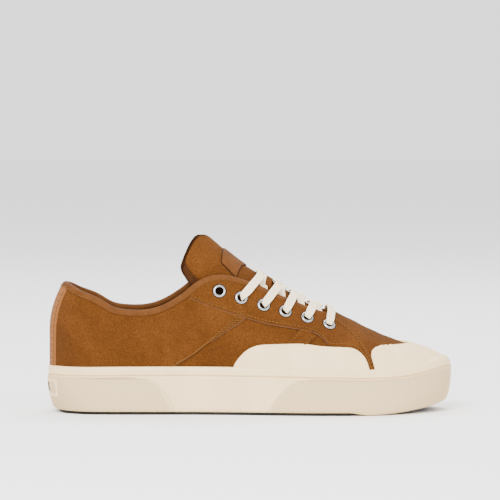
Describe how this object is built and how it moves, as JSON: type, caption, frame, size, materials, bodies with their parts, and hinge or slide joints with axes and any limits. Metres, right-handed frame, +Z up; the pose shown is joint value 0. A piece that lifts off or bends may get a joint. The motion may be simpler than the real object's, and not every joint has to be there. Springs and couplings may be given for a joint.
{
  "type": "skateboarding shoe",
  "caption": "Low-cut suede skateboarding shoe for the right foot with a rubber toe cap, side guard, thick foxed cup sole and flat laces.",
  "frame": {"origin": "on the flat underside of the outsole, half way along the shoe and on the heel's centre line", "axes": "+X towards the toe, +Y towards the inner (medial) side, +Z up"},
  "size_m": [0.2968, 0.1044, 0.1303],
  "materials": {
    "black_rubber": "matt black moulded rubber",
    "cream_rubber": "off-white vulcanised rubber, slightly glossy",
    "suede": "tan-brown suede with a short nap",
    "binding_leather": "light tan smooth leather edging",
    "label_leather": "tan leather patch, bare",
    "lining": "dark brown woven lining",
    "webbing": "ribbed salmon-brown webbing",
    "lace": "flat woven cotton lace, off-white",
    "eyelet_metal": "bright nickel-plated"
  },
  "bodies": {
    "root": {"outsole": "black_rubber", "midsole": "cream_rubber", "heel_bumper": "cream_rubber", "toe_bumper": "cream_rubber", "heel_badge": "cream_rubber", "lateral_guard": "cream_rubber", "toe_cap": "cream_rubber", "insole": "lining", "upper": "suede", "eyestay_lateral": "suede", "eyestay_medial": "suede", "heel_tape": "webbing", "collar_binding": "binding_leather", "tongue": "suede", "tongue_label": "label_leather", "eyelet_lateral_1": "eyelet_metal", "eyelet_lateral_2": "eyelet_metal", "eyelet_lateral_3": "eyelet_metal", "eyelet_lateral_4": "eyelet_metal", "eyelet_lateral_5": "eyelet_metal", "eyelet_lateral_6": "eyelet_metal", "eyelet_medial_1": "eyelet_metal", "eyelet_medial_2": "eyelet_metal", "eyelet_medial_3": "eyelet_metal", "eyelet_medial_4": "eyelet_metal", "eyelet_medial_5": "eyelet_metal", "eyelet_medial_6": "eyelet_metal", "lace_cross_1": "lace", "lace_cross_2": "lace", "lace_cross_3": "lace", "lace_cross_4": "lace", "lace_bar": "lace"}
  },
  "joints": []
}
